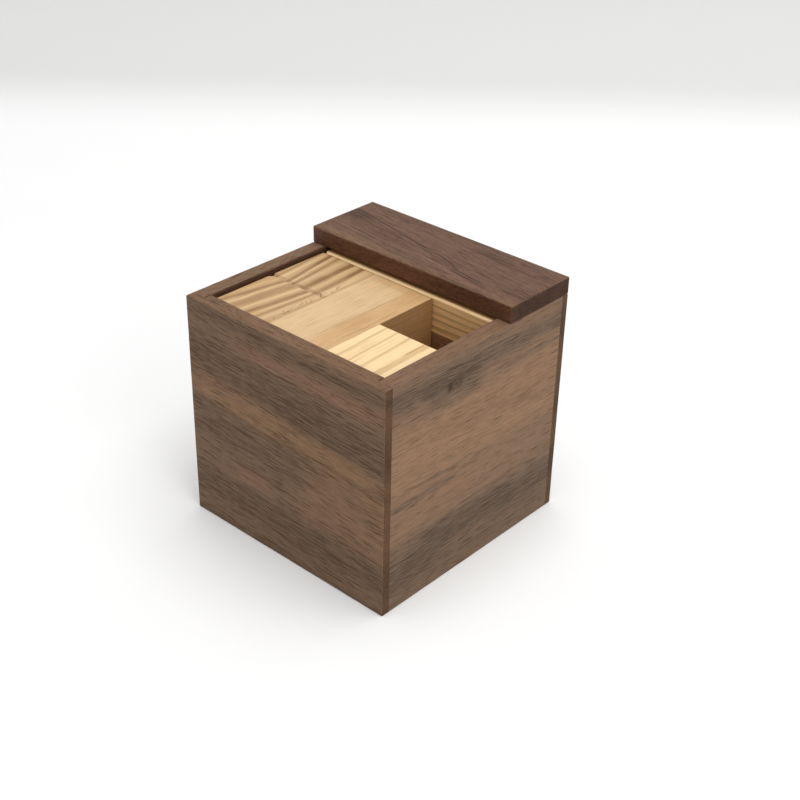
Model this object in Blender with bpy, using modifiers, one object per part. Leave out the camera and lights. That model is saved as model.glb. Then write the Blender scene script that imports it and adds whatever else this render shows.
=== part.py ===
"""Wooden puzzle box: an open-topped walnut box packed with glued-up cubes, held in by a bar.

The box is 70 mm square. Its room is a grid of 3 x 3 x 3 cells. Twenty-six of the cells are filled
by puzzle pieces and one, in the top layer, is left empty as a finger hole. Columns run along +X,
rows run from the front (-Y) to the back (+Y) and layers run upwards, each numbered from 1.
The origin is at the centre of the underside.
"""

import bpy
from mathutils import Vector

# Driving dimensions, in metres
OUTER_SIZE = 0.070      # outside width and depth of the box
STOCK = 0.0048          # thickness of the walls, the floor and the bar
GAP = 0.0003            # clearance between neighbouring pieces
RIM_ABOVE = 0.0009      # how far the walls stand above the packed pieces
BAR_DEPTH = 0.024       # how far the bar reaches forward from the back face
BOX_EASE = 0.0004       # eased edge on the box's boards
PIECE_EASE = 0.0003     # eased edge on the puzzle pieces
CELLS = 3               # cells along each side of the packed cube

# What follows from them
HALF = OUTER_SIZE / 2
ROOM = OUTER_SIZE - 2 * STOCK
CUBE = (ROOM - (CELLS + 1) * GAP) / CELLS
PITCH = CUBE + GAP
PACK = CELLS * CUBE + (CELLS - 1) * GAP
FLOOR_TOP = STOCK
PACK_LOW = FLOOR_TOP + GAP
PACK_HIGH = PACK_LOW + PACK
WALL_HIGH = PACK_HIGH + RIM_ABOVE
BAR_LOW = WALL_HIGH + GAP
LAP = STOCK / 2         # depth of the rabbets at the corners and round the floor
CUT_PAST = 0.002        # how far a cutter runs past the wood

WALNUT = (0.190, 0.105, 0.062, 1)
WALNUT_BAR = (0.165, 0.098, 0.070, 1)
WALNUT_DARK = (0.147, 0.068, 0.036, 1)
ASH = (0.694, 0.485, 0.254, 1)
ASH_PALE = (0.860, 0.680, 0.400, 1)
ASH_STRIPED = (0.520, 0.330, 0.170, 1)


def start_clean():
    """Removes every object and gives back the collections for the box and for its cutters."""
    for old in list(bpy.data.objects):
        bpy.data.objects.remove(old, do_unlink=True)
    made = []
    for name in ("wooden_puzzle_box", "cutters"):
        collection = bpy.data.collections.new(name)
        bpy.context.scene.collection.children.link(collection)
        made.append(collection)
    return made


def wood(name, colour, roughness):
    """A Principled material for one kind of wood."""
    material = bpy.data.materials.new(name)
    material.use_nodes = True
    shader = material.node_tree.nodes["Principled BSDF"]
    shader.inputs["Base Color"].default_value = colour
    shader.inputs["Roughness"].default_value = roughness
    shader.inputs["Metallic"].default_value = 0
    material.diffuse_color = colour
    return material


def move_to(thing, collection):
    """Keeps an object in one collection only."""
    for old in list(thing.users_collection):
        old.objects.unlink(thing)
    collection.objects.link(thing)


def holder(name, centre, parent=None):
    """An empty that carries one body's boards and cubes, at the foot of the body's slide."""
    empty = bpy.data.objects.new(name, None)
    empty.empty_display_size = CUBE / 2
    parts.objects.link(empty)
    set_place(empty, Vector(centre), parent)
    return empty


def set_place(thing, centre, parent):
    """Puts an object at a point of the box's own frame, under a parent that is only moved."""
    if parent:
        bpy.context.view_layer.update()
        thing.parent = parent
        centre = centre - parent.matrix_world.translation
    thing.location = centre


def block(name, low, high, collection):
    """A square-edged block of wood between two corners, with its origin at its centre."""
    low, high = Vector(low), Vector(high)
    bpy.ops.mesh.primitive_cube_add(size=1)
    thing = bpy.context.object
    thing.name = name
    thing.data.name = name
    thing.scale = high - low
    bpy.ops.object.transform_apply(location=False, rotation=False, scale=True)
    move_to(thing, collection)
    return thing, (low + high) / 2


def board(name, low, high, material, parent, ease):
    """A block with eased edges, in its place under the body that carries it."""
    thing, centre = block(name, low, high, parts)
    thing.data.materials.append(material)
    set_place(thing, centre, parent)
    bevel = thing.modifiers.new("eased_edges", "BEVEL")
    bevel.width = ease
    bevel.segments = 2
    return thing


def rabbet(target, name, low, high):
    """Cuts a step out of a board with a block-shaped cutter."""
    cutter, centre = block(name, low, high, cutters)
    cutter.location = centre
    cutter.hide_render = True
    cutter.display_type = "WIRE"
    cut = target.modifiers.new(name, "BOOLEAN")
    cut.operation = "DIFFERENCE"
    cut.solver = "EXACT"
    cut.object = cutter


def end_wall(name, side):
    """The front (side -1) or back (side +1) wall: full width, rabbeted at both ends and below."""
    outer = side * HALF
    inner = side * (HALF - STOCK)
    lap = side * (HALF - LAP)
    near, far = sorted((outer, inner))
    wall = board(name, (-HALF, near, 0), (HALF, far, WALL_HIGH), walnut, box, BOX_EASE)
    past = inner - side * CUT_PAST
    near, far = sorted((lap, past))
    for end, label in ((-1, "left"), (1, "right")):
        west, east = sorted((end * (HALF - STOCK - GAP), end * (HALF + CUT_PAST)))
        rabbet(wall, f"{name}_{label}_rabbet", (west, near, -CUT_PAST), (east, far, WALL_HIGH + CUT_PAST))
    rabbet(wall, f"{name}_floor_rabbet", (-HALF + LAP, near, -CUT_PAST),
           (HALF - LAP, far, FLOOR_TOP + GAP))
    return wall


def side_wall(name, side):
    """The left (side -1) or right (side +1) wall: let into the end walls and rabbeted below."""
    outer = side * HALF
    inner = side * (HALF - STOCK)
    length = HALF - LAP - GAP
    west, east = sorted((outer, inner))
    wall = board(name, (west, -length, 0), (east, length, WALL_HIGH), walnut, box, BOX_EASE)
    west, east = sorted((side * (HALF - LAP), inner - side * CUT_PAST))
    rabbet(wall, f"{name}_floor_rabbet", (west, -HALF, -CUT_PAST), (east, HALF, FLOOR_TOP + GAP))
    return wall


def make_box():
    """The walls, the floor let into their rabbets, and the bar glued across the back of the rim."""
    end_wall("front_panel", -1)
    end_wall("rear_panel", 1)
    side_wall("left_panel", -1)
    side_wall("right_panel", 1)
    reach = HALF - LAP - GAP
    board("bottom_panel", (-reach, -reach, 0), (reach, reach, FLOOR_TOP), walnut, box, BOX_EASE)
    board("top_bar", (-HALF, HALF - BAR_DEPTH, BAR_LOW), (HALF, HALF, BAR_LOW + STOCK),
          walnut_bar, box, BOX_EASE)


def cell_low(cell):
    """The lowest corner of a cell given as (column, row, layer)."""
    column, row, layer = cell
    return Vector((-PACK / 2 + (column - 1) * PITCH,
                   -PACK / 2 + (row - 1) * PITCH,
                   PACK_LOW + (layer - 1) * PITCH))


def stick(name, first, last, material, body):
    """A stick that fills the cells from the first to the last; a cube where they are the same."""
    high = cell_low(last) + Vector((CUBE, CUBE, CUBE))
    return board(name, cell_low(first), high, material, body, PIECE_EASE)


def foot(first, last):
    """The middle of the underside of a piece that stands on the cells from the first to the last."""
    low, high = cell_low(first), cell_low(last) + Vector((CUBE, CUBE, 0))
    return (low + high) / 2


def make_back_row():
    """Three sticks stacked under the bar. The top one is ash over walnut, in equal layers."""
    layer = (CUBE - GAP) / 2
    low = cell_low((1, 3, 3))
    size = Vector((PACK, CUBE, layer))
    board("rear_top_stick_core", low, low + size, walnut_dark, box, PIECE_EASE)
    low.z += layer + GAP
    board("rear_top_stick_face", low, low + size, ash, box, PIECE_EASE)
    stick("rear_middle_stick", (1, 3, 2), (3, 3, 2), ash, box)
    stick("rear_bottom_stick", (1, 3, 1), (3, 3, 1), walnut_dark, box)


def make_lifting_pieces():
    """The four pieces that lift out, each carried by the one that it stands on or hooks over."""
    base = holder("right_base_stick_holder", foot((3, 1, 1), (3, 2, 1)), box)
    stick("right_base_stick", (3, 1, 1), (3, 2, 1), ash, base)

    hook = holder("hook_piece", foot((1, 1, 1), (2, 2, 1)), base)
    stick("hook_piece_front_stick", (1, 1, 1), (2, 1, 1), walnut_dark, hook)
    stick("hook_piece_rear_stick", (1, 2, 1), (2, 2, 1), walnut_dark, hook)
    stick("hook_piece_arm", (2, 2, 2), (3, 2, 2), walnut_dark, hook)

    front = holder("front_middle_stick_holder", foot((1, 1, 2), (3, 1, 2)), hook)
    stick("front_middle_stick", (1, 1, 2), (3, 1, 2), ash, front)

    top = holder("top_piece", foot((1, 1, 3), (2, 2, 3)), front)
    stick("top_piece_front_cube", (1, 1, 3), (1, 1, 3), ash_striped, top)
    stick("top_piece_rear_cube", (1, 2, 3), (1, 2, 3), ash_striped, top)
    stick("top_piece_long_stick", (2, 1, 3), (2, 2, 3), ash, top)
    stick("top_piece_pale_cube", (3, 1, 3), (3, 1, 3), ash_pale, top)
    stick("top_piece_leg_cube", (1, 2, 2), (1, 2, 2), ash, top)


parts, cutters = start_clean()
walnut = wood("walnut", WALNUT, 0.55)
walnut_bar = wood("walnut_bar", WALNUT_BAR, 0.5)
walnut_dark = wood("walnut_dark", WALNUT_DARK, 0.6)
ash = wood("ash", ASH, 0.5)
ash_pale = wood("ash_pale", ASH_PALE, 0.5)
ash_striped = wood("ash_striped", ASH_STRIPED, 0.5)
box = holder("box", (0, 0, 0))
make_box()
make_back_row()
make_lifting_pieces()
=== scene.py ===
import math
import bpy
from mathutils import Matrix, Vector


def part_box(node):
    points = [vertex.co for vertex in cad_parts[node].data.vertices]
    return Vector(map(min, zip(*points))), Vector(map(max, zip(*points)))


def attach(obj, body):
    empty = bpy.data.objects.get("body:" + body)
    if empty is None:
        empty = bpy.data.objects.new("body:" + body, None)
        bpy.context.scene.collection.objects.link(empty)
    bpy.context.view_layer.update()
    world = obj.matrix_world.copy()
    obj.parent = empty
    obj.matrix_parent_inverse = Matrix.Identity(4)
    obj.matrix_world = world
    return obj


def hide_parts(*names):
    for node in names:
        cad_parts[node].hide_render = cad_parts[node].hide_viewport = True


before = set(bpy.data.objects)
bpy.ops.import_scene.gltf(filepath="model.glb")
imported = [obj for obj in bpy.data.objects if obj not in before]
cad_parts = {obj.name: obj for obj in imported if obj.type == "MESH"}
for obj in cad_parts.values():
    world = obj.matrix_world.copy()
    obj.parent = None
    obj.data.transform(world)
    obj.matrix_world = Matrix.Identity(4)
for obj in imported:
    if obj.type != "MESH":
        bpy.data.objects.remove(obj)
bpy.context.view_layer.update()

MM = 0.001

# ---------------------------------------------------------------------------------------------
# Camera. It looks down on the front right corner of the box from about 0.4 m, the way a person
# holds the box to look into it. It is tilted a little, as a hand-held camera is.
CAMERA_AZIMUTH = math.radians(41.60)
CAMERA_ELEVATION = math.radians(30.99)
CAMERA_ROLL = math.radians(1.308)
CAMERA_DISTANCE = 388.4 * MM
CAMERA_AIM = Vector((0, 9.38, 30.13)) * MM
CAMERA_LENS = 63.37
CAMERA_SENSOR = 36

camera_data = bpy.data.cameras.new("camera")
camera_data.lens = CAMERA_LENS
camera_data.sensor_width = CAMERA_SENSOR
camera_data.clip_start = 10 * MM
camera = bpy.data.objects.new("camera", camera_data)
back = Vector((math.sin(CAMERA_AZIMUTH) * math.cos(CAMERA_ELEVATION),
               -math.cos(CAMERA_AZIMUTH) * math.cos(CAMERA_ELEVATION),
               math.sin(CAMERA_ELEVATION)))
camera.location = CAMERA_AIM + back * CAMERA_DISTANCE
turn = back.to_track_quat("Z", "Y").to_matrix()
roll = Matrix.Rotation(CAMERA_ROLL, 3, "Z")
camera.rotation_euler = (turn @ roll).to_euler()
bpy.context.scene.collection.objects.link(camera)
bpy.context.scene.camera = camera
bpy.context.scene.view_settings.view_transform = "Standard"

# ---------------------------------------------------------------------------------------------
# Table and light. A sheet of white card lies under the box and curves up behind it. The light is
# a wide soft one overhead, a weaker one at the right, and a white room all round.
CARD_SIDE = 6.0
CARD_BEHIND = 0.28
CARD_CURVE = 0.10
CARD_HIGH = 1.5
CARD_FRONT = -2.4
CURVE_STEPS = 12


class Wire:
    """One output of a node. Sums and products of wires add the nodes that work them out."""

    def __init__(self, tree, socket):
        self.tree, self.socket = tree, socket

    def __add__(self, other):
        return node(self.tree, "ShaderNodeMath", self, other, operation="ADD")

    def __sub__(self, other):
        return node(self.tree, "ShaderNodeMath", self, other, operation="SUBTRACT")

    def __mul__(self, other):
        return node(self.tree, "ShaderNodeMath", self, other, operation="MULTIPLY")

    def size(self):
        return node(self.tree, "ShaderNodeMath", self, operation="ABSOLUTE")

    def held(self):
        """The value kept between 0 and 1."""
        return node(self.tree, "ShaderNodeClamp", self, 0.0, 1.0)

    def most(self, other):
        return node(self.tree, "ShaderNodeMath", self, other, operation="MAXIMUM")

    def fade(self, start, end):
        """A smooth change from 0 where the value is start to 1 where it is end."""
        low, high, first, last = (start, end, 0.0, 1.0) if start < end else (end, start, 1.0, 0.0)
        return node(self.tree, "ShaderNodeMapRange", self, low, high, first, last,
                    interpolation_type="SMOOTHSTEP")


def node(tree, kind, *inputs, out=0, **settings):
    """Adds a node, sets its settings, links or sets its inputs in order, and gives an output."""
    made = tree.nodes.new(kind)
    for name, value in settings.items():
        setattr(made, name, value)
    for socket, value in zip([s for s in made.inputs if s.enabled], inputs):
        if isinstance(value, Wire):
            tree.links.new(value.socket, socket)
        elif value is not None:
            socket.default_value = value
    return Wire(tree, [s for s in made.outputs if s.enabled][out])


def point(tree, x, y, z):
    return node(tree, "ShaderNodeCombineXYZ", x, y, z)


def parts_of(tree, vector):
    """The three numbers of a vector wire."""
    split = node(tree, "ShaderNodeSeparateXYZ", vector)
    return [Wire(tree, s) for s in split.socket.node.outputs]


def noise(tree, where, detail, rough):
    """Soft noise around 0.5, one lump per unit of the point given."""
    return node(tree, "ShaderNodeTexNoise", where, 1.0, detail, rough)


def blend(tree, amount, first, second, kind="MIX"):
    """Mixes two colours."""
    return node(tree, "ShaderNodeMix", amount, first, second, data_type="RGBA",
                blend_type=kind)


def new_material(name):
    """A material with its shader and output. Gives the material, its tree and the shader."""
    material = bpy.data.materials.new(name)
    material.use_nodes = True
    shader = material.node_tree.nodes["Principled BSDF"]
    return material, material.node_tree, shader


def plug(wire, shader, name):
    wire.tree.links.new(wire.socket, shader.inputs[name])


def object_mm(tree):
    """The place on the piece in millimetres, as three wires."""
    place = node(tree, "ShaderNodeTexCoord")
    place = Wire(tree, place.socket.node.outputs["Object"])
    place = node(tree, "ShaderNodeMapping", place, (0, 0, 0), (0, 0, 0), (1000, 1000, 1000))
    return parts_of(tree, place)


def white_card():
    material, tree, shader = new_material("white_card")
    x, y, z = object_mm(tree)
    tooth = noise(tree, point(tree, x * 1.4, y * 1.4, z * 1.4), 3.0, 0.6)
    cloud = noise(tree, point(tree, x * 0.012, y * 0.012, z * 0.012), 2.0, 0.5)
    shade = blend(tree, cloud, (0.86, 0.865, 0.87, 1), (0.90, 0.90, 0.90, 1))
    # The card turns grey as it rises behind the box: painted shade for the upright part, which gets less
    # of the overhead light.
    shade = blend(tree, z.fade(-3.0, 16.0), shade, (0.66, 0.66, 0.655, 1))
    plug(shade, shader, "Base Color")
    plug(node(tree, "ShaderNodeBump", 0.08, 0.0001, 1.0, tooth), shader, "Normal")
    shader.inputs["Roughness"].default_value = 0.75
    shader.inputs["Specular IOR Level"].default_value = 0.25
    return material


rise = [(CARD_FRONT, 0.0), (CARD_BEHIND, 0.0)]
for step in range(1, CURVE_STEPS + 1):
    angle = step / CURVE_STEPS * math.pi / 2
    rise.append((CARD_BEHIND + CARD_CURVE * math.sin(angle), CARD_CURVE * (1 - math.cos(angle))))
rise.append((CARD_BEHIND + CARD_CURVE, CARD_HIGH))
heading = Vector((-math.sin(CAMERA_AZIMUTH), math.cos(CAMERA_AZIMUTH), 0))
sideways = Vector((heading.y, -heading.x, 0)) * CARD_SIDE / 2
card_points = []
for along, up in rise:
    middle = heading * along + Vector((0, 0, up))
    card_points += [middle - sideways, middle + sideways]
card_faces = [(2 * i, 2 * i + 1, 2 * i + 3, 2 * i + 2) for i in range(len(rise) - 1)]
card_mesh = bpy.data.meshes.new("card")
card_mesh.from_pydata(card_points, [], card_faces)
card_mesh.shade_smooth()
card_mesh.materials.append(white_card())
card = bpy.data.objects.new("card", card_mesh)
bpy.context.scene.collection.objects.link(card)


def soft_light(name, place, size, power, colour):
    """A square lamp that faces the middle of the box."""
    lamp = bpy.data.lights.new(name, "AREA")
    lamp.shape = "SQUARE"
    lamp.size = size
    lamp.energy = power
    lamp.color = colour
    holder = bpy.data.objects.new(name, lamp)
    holder.location = place
    holder.rotation_euler = (Vector(place) - CAMERA_AIM).to_track_quat("Z", "Y").to_euler()
    bpy.context.scene.collection.objects.link(holder)


soft_light("overhead", (0.22, 0.02, 1.3), 1.1, 11.6, (1.0, 0.99, 0.97))
soft_light("right", (1.1, -0.25, 0.75), 0.7, 3.2, (1.0, 0.985, 0.96))
room = bpy.data.worlds.new("room")
room.use_nodes = True
room.node_tree.nodes["Background"].inputs["Color"].default_value = (0.97, 0.985, 1.0, 1)
room.node_tree.nodes["Background"].inputs["Strength"].default_value = 0.60
bpy.context.scene.world = room

# ---------------------------------------------------------------------------------------------
# Front and rear walls. Walnut boards, 4.8 mm thick, that run the full width of the box. Their
# ends are rabbeted to half the thickness, and the side walls are glued into those rabbets.
# A rabbet along the lower inside edge takes the floor.
EASE = 0.35 * MM            # rounding of the sanded edges
TIGHT = 0.03 * MM           # what is left of a glue line
CUTS = 27                   # grid lines along each edge of a board, closest near its edges
CUT_PAST = 2 * MM
SAME_PLACE = 0.002 * MM     # corners closer than this are one corner
WEAR_LUMPS = 350.0          # uneven spots of wear in a metre of edge
CHIP_DEPTH = 0.6            # share of a chip's size that it goes in
EDGE_MARK = 3.4             # how fast the mark of a worn edge comes up as the edge turns
SHARP = math.radians(40)    # edges that turn more than this are shaded sharp
INPUT_KINDS = {
    "Low": "NodeSocketVector", "High": "NodeSocketVector", "Ease": "NodeSocketFloat",
    "Round Low": "NodeSocketVector", "Round High": "NodeSocketVector",
    "Wear": "NodeSocketFloat", "Chip": "NodeSocketVector", "Chip Size": "NodeSocketFloat",
    "Seed": "NodeSocketFloat", "Cuts": "NodeSocketInt",
    "Material": "NodeSocketMaterial",
}


def shape_tree(name, inputs):
    """A Geometry Nodes tree with named inputs. Gives the tree and its input wires."""
    tree = bpy.data.node_groups.new(name, "GeometryNodeTree")
    tree.is_modifier = True
    for label, kind in inputs.items():
        tree.interface.new_socket(label, in_out="INPUT", socket_type=kind)
    tree.interface.new_socket("Geometry", in_out="OUTPUT", socket_type="NodeSocketGeometry")
    source = tree.nodes.new("NodeGroupInput")
    return tree, {label: Wire(tree, source.outputs[label]) for label in inputs}


def vector_math(tree, operation, *inputs):
    return node(tree, "ShaderNodeVectorMath", *inputs, operation=operation)


def milled_block(tree, given):
    """A sanded block between two corners. Round Low and Round High hold 1 on each free side and
    0 on each glued side, where the edges stay sharp. Wear makes the rounding uneven. Corners that
    end up in one place are joined, so that no face is without area."""
    cuts = given["Cuts"]
    cube = node(tree, "GeometryNodeMeshCube", (2, 2, 2), cuts, cuts, cuts)
    here = node(tree, "GeometryNodeInputPosition")
    far = vector_math(tree, "SUBTRACT", (1, 1, 1), vector_math(tree, "ABSOLUTE", here))
    cubed = vector_math(tree, "MULTIPLY", far, vector_math(tree, "MULTIPLY", far, far))
    spread = vector_math(tree, "MULTIPLY", vector_math(tree, "SIGN", here),
                         vector_math(tree, "SUBTRACT", (1, 1, 1), cubed))
    low, high = given["Low"], given["High"]
    middle = vector_math(tree, "SCALE", vector_math(tree, "ADD", low, high), 0.5)
    half = vector_math(tree, "SCALE", vector_math(tree, "SUBTRACT", high, low), 0.5)
    full = vector_math(tree, "ADD", middle, vector_math(tree, "MULTIPLY", half, spread))
    lumps = vector_math(tree, "ADD", vector_math(tree, "SCALE", full, WEAR_LUMPS),
                        point(tree, given["Seed"], given["Seed"], 0.0))
    uneven = (noise(tree, lumps, 3.0, 0.6) - 0.5) * 2.0 * given["Wear"] + 1.0
    radius = given["Ease"] * uneven.most(0.2)
    inner_low = vector_math(tree, "ADD", low, vector_math(tree, "SCALE", given["Round Low"], radius))
    inner_high = vector_math(tree, "SUBTRACT", high,
                             vector_math(tree, "SCALE", given["Round High"], radius))
    core = vector_math(tree, "MINIMUM", vector_math(tree, "MAXIMUM", full, inner_low), inner_high)
    out = vector_math(tree, "NORMALIZE", vector_math(tree, "SUBTRACT", full, core))
    place = vector_math(tree, "ADD", core, vector_math(tree, "SCALE", out, radius))
    near = vector_math(tree, "DISTANCE", place, given["Chip"])
    lost = (given["Chip Size"] - near).most(0.0) * CHIP_DEPTH
    inward = vector_math(tree, "NORMALIZE", vector_math(tree, "SUBTRACT", middle, place))
    place = vector_math(tree, "ADD", place, vector_math(tree, "SCALE", inward, lost))
    leans = parts_of(tree, vector_math(tree, "ABSOLUTE", out))
    flat = leans[0].most(leans[1]).most(leans[2])
    has_edge = vector_math(tree, "LENGTH", out)
    edge = ((has_edge - flat) * EDGE_MARK).held()
    marked = node(tree, "GeometryNodeStoreNamedAttribute", cube, None, "edge", edge,
                  data_type="FLOAT", domain="POINT")
    shaped = node(tree, "GeometryNodeSetPosition", marked, None, place)
    return node(tree, "GeometryNodeMergeByDistance", shaped, None, SAME_PLACE)


def cutter_block(tree, low, high):
    """A plain block between two corners, given as wires."""
    size = vector_math(tree, "SUBTRACT", high, low)
    middle = vector_math(tree, "SCALE", vector_math(tree, "ADD", low, high), 0.5)
    cube = node(tree, "GeometryNodeMeshCube", (1, 1, 1), 2, 2, 2)
    return node(tree, "GeometryNodeTransform", cube, middle, (0, 0, 0), size)


def finish_shape(tree, shape, material):
    """Shades the rounded edges smooth, keeps the sharp ones sharp and sets the material."""
    angle = node(tree, "GeometryNodeInputMeshEdgeAngle")
    sharp = node(tree, "FunctionNodeCompare", angle, SHARP, data_type="FLOAT",
                 operation="GREATER_THAN")
    smooth = node(tree, "GeometryNodeSetShadeSmooth", shape, None, True, domain="FACE")
    kept = node(tree, "GeometryNodeSetShadeSmooth", smooth, sharp, False, domain="EDGE")
    real = node(tree, "GeometryNodeRealizeInstances", kept)
    done = node(tree, "GeometryNodeSetMaterial", real, None, material)
    end = tree.nodes.new("NodeGroupOutput")
    tree.links.new(done.socket, end.inputs["Geometry"])


def block_tree():
    tree, given = shape_tree("milled_block", INPUT_KINDS)
    finish_shape(tree, milled_block(tree, given), given["Material"])
    return tree


def rabbeted_tree(rabbets):
    """A milled block with that many block-shaped steps cut out of it."""
    labels = [f"Rabbet {i + 1} {end}" for i in range(rabbets) for end in ("Low", "High")]
    kinds = dict(INPUT_KINDS, **{label: "NodeSocketVector" for label in labels})
    tree, given = shape_tree(f"board_with_{rabbets}_rabbets", kinds)
    shape = milled_block(tree, given)
    for low, high in zip(labels[::2], labels[1::2]):
        cutter = cutter_block(tree, given[low], given[high])
        shape = node(tree, "GeometryNodeMeshBoolean", shape, cutter, operation="DIFFERENCE",
                     solver="EXACT")
    finish_shape(tree, shape, given["Material"])
    return tree


def make_piece(name, tree, body, values):
    """Runs a shape tree once, keeps its mesh as a finished piece, and lets it stand for the CAD
    node of that name."""
    maker = bpy.data.objects.new(name + "_maker", bpy.data.meshes.new(name + "_maker"))
    bpy.context.scene.collection.objects.link(maker)
    shaper = maker.modifiers.new("shape", "NODES")
    shaper.node_group = tree
    for socket in tree.interface.items_tree:
        if socket.in_out == "INPUT" and socket.name in values:
            shaper[socket.identifier] = values[socket.name]
    bpy.context.view_layer.update()
    seen = maker.evaluated_get(bpy.context.evaluated_depsgraph_get())
    mesh = bpy.data.meshes.new_from_object(seen)
    bpy.data.objects.remove(maker)
    mesh.name = name
    mesh.materials.pop(index=0)
    piece = bpy.data.objects.new(name + "_wood", mesh)
    bpy.context.scene.collection.objects.link(piece)
    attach(piece, body)
    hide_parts(name)
    return piece


def block_values(low, high, material, seed, ease=EASE, wear=0.35, cuts=CUTS, glued_low=(0, 0, 0),
                 glued_high=(0, 0, 0), chip=(0, 0, 0), chip_size=0.0):
    """The named inputs of a milled block. glued_low and glued_high hold 1 on each glued side."""
    return {
        "Low": low, "High": high, "Ease": ease, "Wear": wear, "Seed": seed, "Cuts": cuts,
        "Chip": chip, "Chip Size": chip_size,
        "Round Low": [1.0 - g for g in glued_low], "Round High": [1.0 - g for g in glued_high],
        "Material": material,
    }


def tone(red, green, blue):
    """A colour from its screen values, 0 to 255."""
    return tuple(((value / 255 + 0.055) / 1.055) ** 2.4 for value in (red, green, blue)) + (1.0,)


def patches(tree, along, across, marks):
    """Soft patches of figure, each (middle along, middle across, half length, half width, lean,
    strength) in millimetres. A lean of 0.1 climbs 1 mm in 10."""
    total = None
    for at_along, at_across, half_length, half_width, lean, strength in marks:
        far = along - at_along
        reach = (far * (1.0 / half_length)).size().fade(1.3, 0.6)
        off = (across - at_across - far * lean) * (1.0 / half_width)
        patch = reach * off.size().fade(1.4, 0.45) * strength
        total = patch if total is None else total + patch
    return total.held()


def wood(name, grain, across, look, figure):
    """A wood material. grain and across are the axes (0 to 2) along the grain and across the
    face. look holds the colours and sizes of the grain, figure the patches of each colour. In
    look, each row of dashes is a length, a width, the two ends of a fade, how many more there
    are in dark wood, and a strength; each row of pores is a length, a width, the share of cells
    with a pore, how many more there are in dark wood, and a strength; inside darkens all that
    lies past a plane, and holds an axis, where it starts, where it is full, and the colour it is
    multiplied by. On the left wall, the back stick and the long stick that darkening is painted
    shade; on the other pieces it is a tone of the wood."""
    material, tree, shader = new_material(name)
    place = object_mm(tree)
    along, over, deep = place[grain], place[across], place[3 - grain - across]
    lean = look["lean"]
    seed = look["seed"]

    def in_grain(length, width, shift, level):
        """The place counted in lengths along the grain and widths across it, in mm."""
        return point(tree, along * (1.0 / length) + (seed + shift),
                     (level - along * lean) * (1.0 / width), deep * (1.0 / width))

    def grained(length, width, detail=2.0, rough=0.5, shift=0.0, level=over):
        """Noise with lumps of that length along the grain and width across it, in mm."""
        return noise(tree, in_grain(length, width, shift, level), detail, rough)

    streak = grained(24, 0.9, 3.0, 0.62, 17.0)
    wave = (grained(40, 22, 1.0) - 0.5) * look["wave"]
    ripple = (grained(15, 3.5, 2.0, 0.6, 7.0) - 0.5) * look["ripple"]
    feather = (streak - 0.5) * look["feather"]
    level = over + wave + ripple
    if "knot" in look:
        level = level + bend_round_knot(tree, along, over, look["knot"])

    ragged = level + feather

    drift = grained(42, 6, 2.0, 0.6, 3.0).fade(0.40, 0.68) * look["drift"]
    dark = (patches(tree, along, ragged, figure["dark"]) + drift).held()
    colour = look["base"]
    for kind in ("warm", "red"):
        if kind in figure:
            amount = patches(tree, along, ragged, figure[kind])
        else:
            amount = grained(30, 7, 2.0, 0.5, 11.0 + len(kind)).fade(0.45, 0.75) * 0.5
        colour = blend(tree, amount, colour, look[kind])
    colour = blend(tree, dark, colour, look["dark"])
    if "inside" in look:
        # Past the plane the colour is multiplied by the given colour: painted shade on the left wall,
        # the back stick and the long stick, the wood's own tone on the others.
        axis, start, end, inside_tint_and_shade = look["inside"]
        colour = blend(tree, place[axis].fade(start, end), colour,
                       blend(tree, 1.0, colour, inside_tint_and_shade, "MULTIPLY"))
    if "lines" in figure:
        colour = blend(tree, patches(tree, along, level, figure["lines"]), colour, look["pore"])
    if "flecks" in figure:
        fleck = grained(0.8, 0.5, 0.0, 0.5, 51.0).fade(0.62, 0.70)
        fleck = fleck * patches(tree, along, over, figure["flecks"])
        colour = blend(tree, fleck, colour, look["pore"])

    fibre = grained(6, 0.14, 2.0, 0.6, 23.0, level)
    shade = (streak - 0.5) * look["streak"] + (fibre - 0.5) * look["fibre"] + 1.0
    colour = blend(tree, 1.0, colour, point(tree, shade, shade, shade), "MULTIPLY")

    pores = None
    for length, width, start, end, crowd, strength in look["dashes"]:
        dash = grained(length, width, 2.0, 0.5, 41.0 + length, level) + dark * crowd
        dash = dash.fade(start, end) * strength
        pores = dash if pores is None else pores.most(dash)
    for length, width, share, crowd, strength in look["pores"]:
        where = in_grain(length, width, length, level)
        cell = node(tree, "ShaderNodeTexVoronoi", where, 1.0, 0.0, 0.5, 2.0, 1.0)
        chance = parts_of(tree, Wire(tree, cell.socket.node.outputs["Color"]))[0] + dark * crowd
        pore = cell.fade(0.34, 0.14) * chance.fade(1.0 - share, 1.15 - share) * strength
        pores = pore if pores is None else pores.most(pore)
    colour = blend(tree, pores.held(), colour, look["pore"])

    facing = node(tree, "ShaderNodeNewGeometry")
    facing = parts_of(tree, Wire(tree, facing.socket.node.outputs["Normal"]))[grain].size()
    end_grain = facing.fade(0.55, 0.85)
    colour = blend(tree, end_grain, colour, blend(tree, 1.0, colour, look["end"], "MULTIPLY"))

    worn = node(tree, "ShaderNodeAttribute", attribute_name="edge", out=2)
    rubbed = worn * grained(6, 3, 3.0, 0.6, 31.0).fade(0.35, 0.65)
    colour = blend(tree, rubbed * look["worn"], colour, look["rubbed"])
    plug(colour, shader, "Base Color")
    gloss = (streak - 0.5) * -0.18 + pores * 0.25 + end_grain * 0.25 + look["rough"]
    plug(gloss.held(), shader, "Roughness")
    relief = streak * 0.4 - pores
    plug(node(tree, "ShaderNodeBump", look["relief"], 0.0001, 1.0, relief), shader, "Normal")
    shader.inputs["Specular IOR Level"].default_value = look["shine"]
    return material


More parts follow.
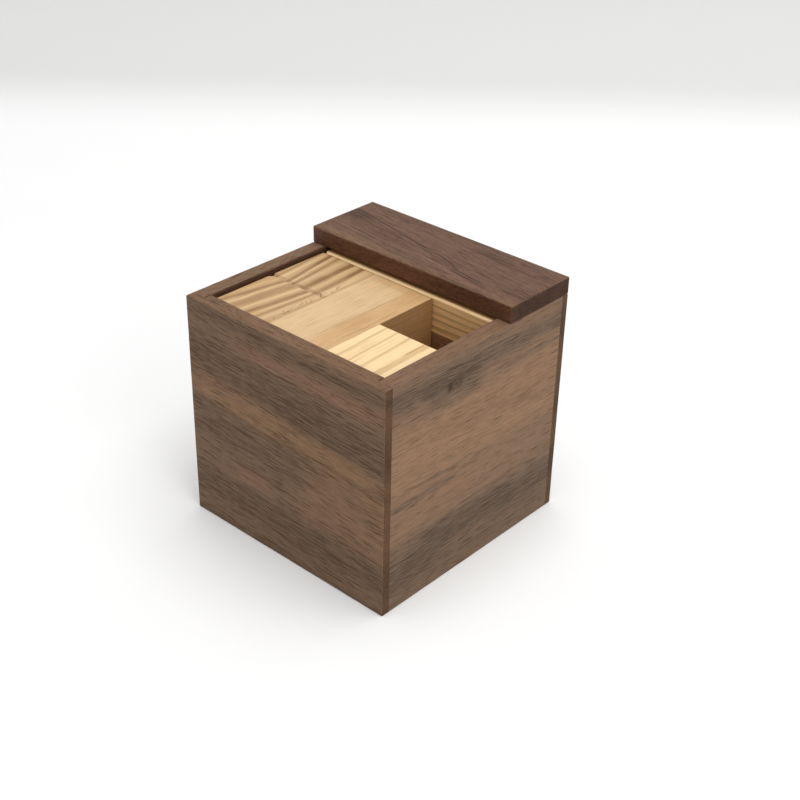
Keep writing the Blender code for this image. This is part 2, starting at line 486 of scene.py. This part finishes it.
def bend_round_knot(tree, along, over, knot):
    """How far the grain is drawn in as it passes a small knot."""
    at_along, at_over, reach, pull = knot
    away = (along - at_along) * (1.0 / (reach * 2.2))
    up = (over - at_over) * (1.0 / reach)
    near = (away * away + up * up).fade(1.0, 0.0)
    return near * up * pull


WALNUT = {
    "seed": 3.0, "lean": -0.055, "wave": 3.0, "ripple": 0.9, "feather": 4.0, "drift": 0.25,
    "streak": 0.42, "fibre": 0.3,
    "base": tone(119, 93, 72), "warm": tone(139, 106, 76), "red": tone(134, 99, 78),
    "dark": tone(108, 86, 66), "pore": tone(50, 33, 21),
    "dashes": ((6.5, 0.26, 0.54, 0.68, 0.07, 0.62), (3.2, 0.16, 0.55, 0.68, 0.05, 0.42)),
    "pores": ((8.0, 0.46, 0.36, 0.40, 0.72), (5.0, 0.34, 0.32, 0.36, 0.58)),
    "end": (0.62, 0.60, 0.57, 1), "worn": 0.2, "rubbed": tone(140, 110, 82),
    "rough": 0.58, "relief": 0.4, "shine": 0.15,
}

front_low, front_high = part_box("front_panel")
bar_low, bar_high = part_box("top_bar")
wall_top = bar_low.z - TIGHT
half_width = front_high.x
inner_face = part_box("right_panel")[0].x
lap = (front_high.y - front_low.y) / 2
floor_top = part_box("bottom_panel")[1].z
floor_cut = floor_top + TIGHT
block_shape = block_tree()
end_wall_shape = rabbeted_tree(3)


def end_wall(name, side, material, seed):
    """A full-width wall; side is -1 at the front and 1 at the back."""
    outer, inner = side * half_width, side * inner_face
    near, far = sorted((outer, inner))
    shoulder = outer - side * lap
    cut_near, cut_far = sorted((shoulder, inner - side * CUT_PAST))
    values = block_values((-half_width, near, 0), (half_width, far, wall_top), material, seed)
    for number, end in ((1, -1), (2, 1)):
        west, east = sorted((end * (inner_face - TIGHT), end * (half_width + CUT_PAST)))
        values[f"Rabbet {number} Low"] = (west, cut_near, -CUT_PAST)
        values[f"Rabbet {number} High"] = (east, cut_far, wall_top + CUT_PAST)
    reach = half_width - lap
    values["Rabbet 3 Low"] = (-reach, cut_near, -CUT_PAST)
    values["Rabbet 3 High"] = (reach, cut_far, floor_cut)
    return make_piece(name, end_wall_shape, "box", values)


FRONT_FIGURE = {
    "dark": (
        (12.0, 62.8, 30.0, 1.2, -0.055, 0.80),
        (-30.0, 64.5, 16.0, 1.5, 0.0, 0.50),
        (0.0, 49.0, 45.0, 5.4, -0.085, 0.75),
        (-15.0, 31.0, 25.0, 6.0, -0.03, 0.50),
        (20.0, 35.5, 22.0, 1.6, -0.01, 0.35),
        (0.0, 11.5, 42.0, 4.6, -0.02, 0.80),
        (0.0, 1.2, 40.0, 1.0, 0.0, 0.45),
    ),
    "warm": (
        (0.0, 39.8, 45.0, 5.2, -0.12, 0.75),
        (22.0, 25.0, 17.0, 6.0, -0.05, 0.45),
    ),
    "red": (
        (12.0, 57.6, 28.0, 2.0, -0.03, 0.80),
        (-25.0, 44.5, 14.0, 2.5, -0.1, 0.60),
        (-12.0, 20.5, 7.0, 2.4, 0.0, 0.70),
        (22.0, 23.0, 16.0, 8.0, -0.05, 0.45),
    ),
}
front_walnut = wood("walnut_front_wall", 0, 2,
                    dict(WALNUT, inside=(1, -34.9, -34.4, (1.0, 0.93, 0.91, 1))), FRONT_FIGURE)
end_wall("front_panel", -1, front_walnut, 1.0)
REAR_FIGURE = {"dark": ((0.0, 56.0, 60.0, 4.0, 0.04, 0.7), (0.0, 33.0, 60.0, 3.0, 0.06, 0.5),
                        (10.0, 15.0, 40.0, 5.0, 0.03, 0.8))}
rear_walnut = wood("walnut_rear_wall", 0, 2, dict(WALNUT, seed=41.0), REAR_FIGURE)
end_wall("rear_panel", 1, rear_walnut, 8.4)

# ---------------------------------------------------------------------------------------------
# Side walls. Walnut boards between the end walls, glued into their rabbets, with the grain
# running front to back. The right one has a dark streak below its rim with a small knot in it.
side_wall_shape = rabbeted_tree(1)


def side_wall(name, side, material, seed):
    """A wall between the end walls; side is -1 at the left and 1 at the right."""
    outer, inner = side * half_width, side * inner_face
    west, east = sorted((outer, inner))
    reach = half_width - lap - TIGHT
    values = block_values((west, -reach, 0), (east, reach, wall_top), material, seed,
                          glued_low=(0, 1, 0), glued_high=(0, 1, 0))
    west, east = sorted((outer - side * lap, inner - side * CUT_PAST))
    values["Rabbet 1 Low"] = (west, -half_width, -CUT_PAST)
    values["Rabbet 1 High"] = (east, half_width, floor_cut)
    return make_piece(name, side_wall_shape, "box", values)


RIGHT_FIGURE = {
    "dark": (
        (-22.0, 60.4, 18.0, 3.0, -0.01, 0.75),
        (14.0, 60.0, 30.0, 2.4, -0.01, 0.50),
        (-10.0, 56.8, 11.0, 4.2, 0.0, 0.60),
        (20.0, 55.2, 14.0, 0.8, 0.0, 0.35),
        (-20.0, 30.2, 12.0, 0.9, -0.02, 0.45),
        (-16.0, 34.0, 12.0, 0.6, -0.02, 0.40),
        (-4.0, 15.0, 20.0, 4.5, -0.02, 0.55),
        (22.0, 12.5, 14.0, 4.5, 0.0, 0.40),
        (-26.0, 9.5, 14.0, 4.5, 0.0, 0.40),
        (0.0, 9.0, 60.0, 9.0, 0.0, 0.40),
    ),
    "warm": (
        (0.0, 43.0, 50.0, 12.0, 0.02, 0.90),
        (-5.0, 25.0, 45.0, 5.0, 0.0, 0.40),
    ),
    "red": ((10.0, 47.0, 30.0, 5.0, 0.03, 0.35), (-12.0, 27.0, 14.0, 3.0, 0.0, 0.30)),
    "lines": ((-10.0, 57.4, 2.9, 2.0, 0.0, 0.62), (-9.7, 57.6, 1.6, 1.05, 0.0, -0.42),
              (-11.6, 56.9, 0.8, 0.7, 0.3, 0.35), (-9.4, 57.4, 0.5, 0.4, 0.0, 0.45)),
}
KNOT = (-10.0, 57.5, 4.0, 1.4)
RIGHT_WALNUT = dict(WALNUT, seed=12.0, lean=-0.015, drift=0.15, wave=2.0, knot=KNOT,
                    base=tone(124, 98, 77), warm=tone(145, 112, 85), red=tone(144, 108, 82),
                    dark=tone(103, 85, 69), inside=(0, 34.9, 34.4, (0.97, 0.90, 0.89, 1)),
                    dashes=((7.0, 0.24, 0.56, 0.69, 0.10, 0.54), (3.2, 0.15, 0.56, 0.68, 0.06, 0.36)),
                    pores=((8.0, 0.42, 0.24, 0.46, 0.66), (5.0, 0.32, 0.22, 0.40, 0.50)))
right_walnut = wood("walnut_right_wall", 1, 2, RIGHT_WALNUT, RIGHT_FIGURE)
side_wall("right_panel", 1, right_walnut, 7.7)
LEFT_FIGURE = {"dark": ((0.0, 50.0, 60.0, 4.0, 0.05, 0.6), (0.0, 24.0, 60.0, 5.0, -0.04, 0.7))}
# inside darkens the inner face of the left wall to near black: painted shade for the narrow gap between
# that wall and the pieces.
left_walnut = wood("walnut_left_wall", 1, 2,
                   dict(WALNUT, seed=27.0, inside=(0, -31.0, -30.3, (0.34, 0.27, 0.24, 1))), LEFT_FIGURE)
side_wall("left_panel", -1, left_walnut, 4.0)

# ---------------------------------------------------------------------------------------------
# Floor. One walnut panel let into the rabbets, flush with the lower edge of the walls.
reach = half_width - lap - TIGHT
floor_walnut = wood("walnut_floor", 0, 1, dict(WALNUT, seed=55.0),
                    {"dark": ((0.0, 5.0, 60.0, 6.0, 0.05, 0.6), (0.0, -18.0, 60.0, 3.0, 0.05, 0.5))})
make_piece("bottom_panel", block_shape, "box",
           block_values((-reach, -reach, 0), (reach, reach, floor_top), floor_walnut, 5.0,
                        ease=EASE / 2))

# ---------------------------------------------------------------------------------------------
# Bar. A redder walnut board glued flat across the back of the rim. A thin dark line wanders
# across its top face, and its ends show dark end grain.
BAR_WOOD = dict(
    WALNUT, seed=71.0, lean=-0.12, wave=0.8, ripple=1.1, feather=0.5, drift=0.3, streak=0.60,
    base=tone(107, 79, 61), warm=tone(120, 90, 67), red=tone(116, 81, 64), dark=tone(78, 54, 41),
    pore=tone(46, 27, 18), end=(0.55, 0.59, 0.61, 1), rough=0.5, shine=0.2,
    dashes=((7.0, 0.24, 0.52, 0.68, 0.05, 0.60), (3.0, 0.16, 0.53, 0.68, 0.04, 0.50)),
    pores=((6.0, 0.44, 0.40, 0.25, 0.7), (3.0, 0.30, 0.30, 0.2, 0.6)),
    inside=(2, 70.75, 70.3, (0.78, 0.60, 0.50, 1)))
BAR_FIGURE = {
    "dark": (
        (-14.0, 23.4, 22.0, 1.6, -0.17, 0.12),
        (14.0, 16.6, 12.0, 1.0, -0.2, 0.40),
        (-32.0, 25.0, 5.0, 3.0, 0.0, 0.5),
        (13.0, 30.5, 6.0, 2.0, 0.0, 0.4),
    ),
    "warm": ((0.0, 12.0, 45.0, 1.6, 0.0, 0.7),),
    "lines": (
        (-30.5, 27.6, 4.5, 0.22, -0.11, 0.90),
        (-20.0, 25.6, 7.5, 0.22, -0.23, 0.85),
        (-5.0, 22.5, 8.5, 0.22, -0.19, 0.85),
        (6.5, 19.8, 4.2, 0.28, -0.36, 0.90),
        (15.5, 16.9, 6.0, 0.26, -0.16, 0.85),
        (14.5, 15.7, 3.5, 0.22, -0.10, 0.75),
        (18.0, 15.0, 5.0, 0.15, -0.05, 0.45),
        (3.0, 17.8, 8.0, 0.14, -0.10, 0.40),
        (27.0, 28.2, 3.0, 0.16, -0.05, 0.60),
        (33.0, 26.0, 2.5, 0.16, -0.05, 0.60),
    ),
}
bar_walnut = wood("walnut_top_bar", 0, 1, BAR_WOOD, BAR_FIGURE)
make_piece("top_bar", block_shape, "box",
           block_values(bar_low, bar_high, bar_walnut, 6.0, ease=0.3 * MM))

# ---------------------------------------------------------------------------------------------
# Back row. Three sticks lie under the bar. The top one is ash glued over dark walnut; its front
# face is the far side of the finger hole.
ASH = {
    "seed": 5.0, "lean": 0.0, "wave": 1.0, "ripple": 0.5, "feather": 0.6, "drift": 0.2,
    "streak": 0.16, "fibre": 0.10,
    "base": tone(206, 173, 130), "warm": tone(199, 164, 119), "red": tone(190, 152, 106),
    "dark": tone(150, 112, 70), "pore": tone(120, 86, 52),
    "dashes": ((9.0, 0.24, 0.54, 0.74, 0.10, 0.30),),
    "pores": ((4.0, 0.40, 0.10, 0.3, 0.25),),
    "end": (0.62, 0.58, 0.52, 1), "worn": 0.2, "rubbed": tone(222, 192, 152),
    "rough": 0.45, "relief": 0.18, "shine": 0.3,
}
# DARK_WALNUT is lighter than the walnut of the walls: painted light, so that the walnut core seen in the
# shade at the foot of the finger hole comes out lighter. The hook piece takes darker colours of its own.
DARK_WALNUT = dict(WALNUT, seed=90.0, lean=0.0, base=tone(156, 112, 80), warm=tone(164, 118, 82),
                   red=tone(156, 108, 76), dark=tone(126, 88, 62), drift=0.15)
STICK_EASE = 0.22 * MM
HALF_LINE = 0.15 * MM       # half of the gap that stands for a glue line between two nodes


def cell_piece(name, body, material, seed, glued_low=(0, 0, 0), glued_high=(0, 0, 0),
               chip=(0, 0, 0), chip_size=0.0):
    """A cube or stick of a puzzle piece, grown by half a glue line on each glued side."""
    low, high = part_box(name)
    half_gap = Vector((1, 1, 1)) * (HALF_LINE - TIGHT / 4)
    low = low - Vector(glued_low) * half_gap
    high = high + Vector(glued_high) * half_gap
    return make_piece(name, block_shape, body,
                      block_values(low, high, material, seed, ease=STICK_EASE, wear=0.5,
                                   glued_low=glued_low, glued_high=glued_high,
                                   chip=chip, chip_size=chip_size))


# The warm band lightens the top face of the ash stick and the upper edge of its front face: the pale
# tone of the ash with painted light over it, keeping the top bright next to the bar.
BACK_FIGURE = {"warm": ((0.0, 65.2, 60.0, 0.8, 0.0, 1.0),),
               "dark": ((20.0, 62.6, 30.0, 0.3, 0.01, 0.4), (20.0, 60.6, 30.0, 0.35, 0.02, 0.4),
                        (20.0, 58.8, 30.0, 0.3, 0.02, 0.5), (20.0, 56.4, 30.0, 0.6, 0.0, 0.4))}
# inside darkens the ash top where it runs on under the bar: painted shade of the bar.
back_ash = wood("ash_back_stick", 0, 2,
                dict(ASH, seed=33.0, streak=0.60, fibre=0.3, drift=0.1, base=tone(240, 196, 138),
                     warm=tone(255, 220, 168), red=tone(230, 178, 120),
                     inside=(1, 11.0, 12.0, (0.62, 0.44, 0.30, 1))), BACK_FIGURE)
back_dark = wood("walnut_back_stick", 0, 2, DARK_WALNUT, {"dark": ((20.0, 50.0, 30.0, 2.0, 0.02, 0.4),)})
back_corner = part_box("rear_top_stick_face")
cell_piece("rear_top_stick_face", "box", back_ash, 7.0, glued_low=(0, 0, 1),
           chip=(back_corner[0].x, back_corner[0].y, back_corner[1].z), chip_size=1.2 * MM)
cell_piece("rear_top_stick_core", "box", back_dark, 8.0, glued_high=(0, 0, 1))
LOWER_FIGURE = {"dark": ((0.0, 40.0, 50.0, 1.0, 0.02, 0.5), (0.0, 35.0, 50.0, 1.5, 0.02, 0.4),
                         (0.0, 18.0, 50.0, 1.2, -0.02, 0.5))}
hidden_ash = wood("ash_lower_pieces", 0, 2, dict(ASH, seed=44.0, drift=0.4, streak=0.3), LOWER_FIGURE)
cell_piece("rear_middle_stick", "box", hidden_ash, 9.0)
cell_piece("rear_bottom_stick", "box", back_dark, 10.0)

# ---------------------------------------------------------------------------------------------
# Lower lifting pieces. A two-cube stick on the floor at the right; over it the hook piece, a
# square of two sticks with an arm that forms the bottom of the finger hole; then a long stick.
side_ash = wood("ash_right_base_stick", 1, 2, dict(ASH, seed=61.0, drift=0.4, streak=0.3),
                {"dark": ((0.0, 14.0, 40.0, 1.4, 0.02, 0.5),)})
cell_piece("right_base_stick", "base_stick", side_ash, 11.0)
hook_walnut = wood("walnut_hook_piece", 0, 1,
                   dict(DARK_WALNUT, seed=97.0, base=tone(138, 98, 70), warm=tone(148, 106, 74),
                        red=tone(138, 92, 66)),
                   {"dark": ((0.0, -22.0, 60.0, 1.4, 0.03, 0.6), (0.0, -14.0, 60.0, 1.0, 0.02, 0.5),
                             (0.0, -4.0, 60.0, 1.6, -0.02, 0.6), (0.0, 5.0, 60.0, 1.0, 0.0, 0.5))})
cell_piece("hook_piece_front_stick", "hook_piece", hook_walnut, 12.0,
           glued_high=(0, 1, 0))
cell_piece("hook_piece_rear_stick", "hook_piece", hook_walnut, 13.0,
           glued_low=(0, 1, 0))
cell_piece("hook_piece_arm", "hook_piece", hook_walnut, 14.0)
cell_piece("front_middle_stick", "middle_stick", hidden_ash, 15.0)

# ---------------------------------------------------------------------------------------------
# Top piece. Five cells glued into one flat piece with a leg under its rear left cube, and the
# notch that makes the finger hole. All grain runs front to back.
REAR_STRIPES = {
    "dark": (
        (0.0, -28.9, 14.0, 0.5, -0.10, 0.45),
        (3.0, -25.9, 14.0, 0.70, -0.156, 0.75),
        (8.0, -26.3, 5.0, 0.65, -0.156, 0.45),
        (0.0, -22.7, 14.0, 0.5, -0.106, 0.65),
        (4.0, -18.3, 14.0, 0.95, -0.03, 0.75),
        (8.0, -18.6, 5.0, 0.9, -0.03, 0.45),
        (-6.0, -18.8, 6.0, 1.6, 0.03, 0.35),
        (4.0, -14.2, 14.0, 0.80, -0.05, 0.70),
        (8.0, -14.4, 5.0, 0.7, -0.05, 0.35),
        (-9.2, -20.0, 0.75, 40.0, 0.0, 0.40),
        (-9.3, -11.6, 0.75, 0.30, -1.1, 0.90),
    ),
    "flecks": ((-6.0, -11.4, 5.0, 0.8, 0.0, 0.8),),
    "warm": (
        (0.0, -27.6, 14.0, 0.7, -0.10, 0.8),
        (0.0, -24.2, 14.0, 0.45, -0.14, 0.8),
        (0.0, -20.9, 14.0, 0.9, -0.08, 0.9),
        (0.0, -16.3, 14.0, 0.7, -0.03, 0.9),
        (0.0, -11.8, 14.0, 1.1, -0.03, 0.9),
    ),
}
FRONT_STRIPES = {
    "dark": (
        (-18.5, -26.3, 14.0, 0.75, 0.193, 0.70),
        (-18.5, -22.3, 14.0, 1.5, 0.14, 0.50),
        (-18.5, -17.1, 14.0, 0.95, 0.147, 0.75),
        (-18.5, -14.2, 14.0, 0.5, 0.073, 0.60),
    ),
    "warm": (
        (-18.5, -28.6, 14.0, 0.7, 0.19, 0.6),
        (-18.5, -24.6, 14.0, 0.5, 0.16, 0.8),
        (-18.5, -19.6, 14.0, 0.6, 0.14, 0.9),
        (-18.5, -15.5, 14.0, 0.4, 0.12, 0.8),
        (-18.5, -12.4, 14.0, 0.9, 0.07, 0.8),
    ),
    "flecks": ((-19.0, -11.5, 10.0, 0.9, 0.0, 0.9),),
}
LONG_STRIPES = {
    "dark": ((-6.0, 3.0, 14.0, 0.25, 0.02, 0.30), (-12.0, 8.3, 10.0, 0.25, 0.0, 0.30),
             (0.0, 6.9, 30.0, 0.2, 0.0, 0.2)),
    # The second warm patch, a darker orange across the rear end of the long stick, is painted shadow of
    # the bar; the first is the wood's own tone.
    "warm": ((-8.0, 7.0, 26.0, 4.2, 0.0, 0.9), (9.0, 0.0, 2.5, 10.0, 0.0, 0.6)),
    "red": ((-14.0, 4.6, 6.0, 2.2, 0.0, 0.6),),
}
PALE_STRIPES = {"dark": (
    (-20.0, 13.0, 14.0, 0.4, -0.04, 0.40),
    (-20.0, 15.2, 3.0, 0.3, 0.0, 0.20),
    (-20.0, 16.7, 14.0, 0.35, -0.05, 0.50),
    (-20.0, 20.9, 14.0, 0.5, -0.06, 0.45),
    (-13.0, 25.0, 5.0, 0.25, 0.0, 0.70),
    (-20.0, 26.2, 14.0, 1.1, -0.02, 0.45),
)}
STRIPED = dict(ASH, base=tone(188, 153, 110), warm=tone(208, 176, 133), wave=0.6, drift=0.15,
               streak=0.25, dark=tone(140, 104, 66), feather=1.2, ripple=0.8)
rear_striped = wood("ash_rear_cube", 1, 0, dict(STRIPED, seed=14.0), REAR_STRIPES)
front_striped = wood("ash_front_cube", 1, 0, dict(STRIPED, seed=15.0), FRONT_STRIPES)
# inside darkens the right side of the long stick, which is the left wall of the finger hole: painted
# shade inside the hole.
long_ash = wood("ash_long_stick", 1, 0,
                dict(ASH, seed=16.0, drift=0.06, streak=0.26, feather=2.6,
                     base=tone(208, 176, 134), warm=tone(196, 156, 110), red=tone(190, 148, 102),
                     inside=(0, 9.85, 10.0, (0.70, 0.62, 0.52, 1)),
                     dashes=((9.0, 0.22, 0.54, 0.70, 0.10, 0.42),)), LONG_STRIPES)
pale_ash = wood("ash_pale_cube", 1, 0,
                dict(ASH, seed=18.0, streak=0.28, base=tone(233, 203, 156), warm=tone(226, 194, 146),
                     red=tone(220, 184, 134), dark=tone(178, 138, 90), drift=0.05), PALE_STRIPES)
seam_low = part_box("top_piece_rear_cube")[0]
chip_place = (seam_low.x, seam_low.y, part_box("top_piece_rear_cube")[1].z)
cell_piece("top_piece_rear_cube", "top_piece", rear_striped, 21.0,
           glued_low=(0, 1, 1), glued_high=(1, 0, 0), chip=chip_place, chip_size=1.3 * MM)
cell_piece("top_piece_front_cube", "top_piece", front_striped, 22.0,
           glued_high=(1, 1, 0), chip=chip_place, chip_size=0.9 * MM)
cell_piece("top_piece_long_stick", "top_piece", long_ash, 23.0,
           glued_low=(1, 0, 0), glued_high=(1, 0, 0))
cell_piece("top_piece_pale_cube", "top_piece", pale_ash, 24.0, glued_low=(1, 0, 0))
cell_piece("top_piece_leg_cube", "top_piece", side_ash, 25.0, glued_high=(0, 0, 1))
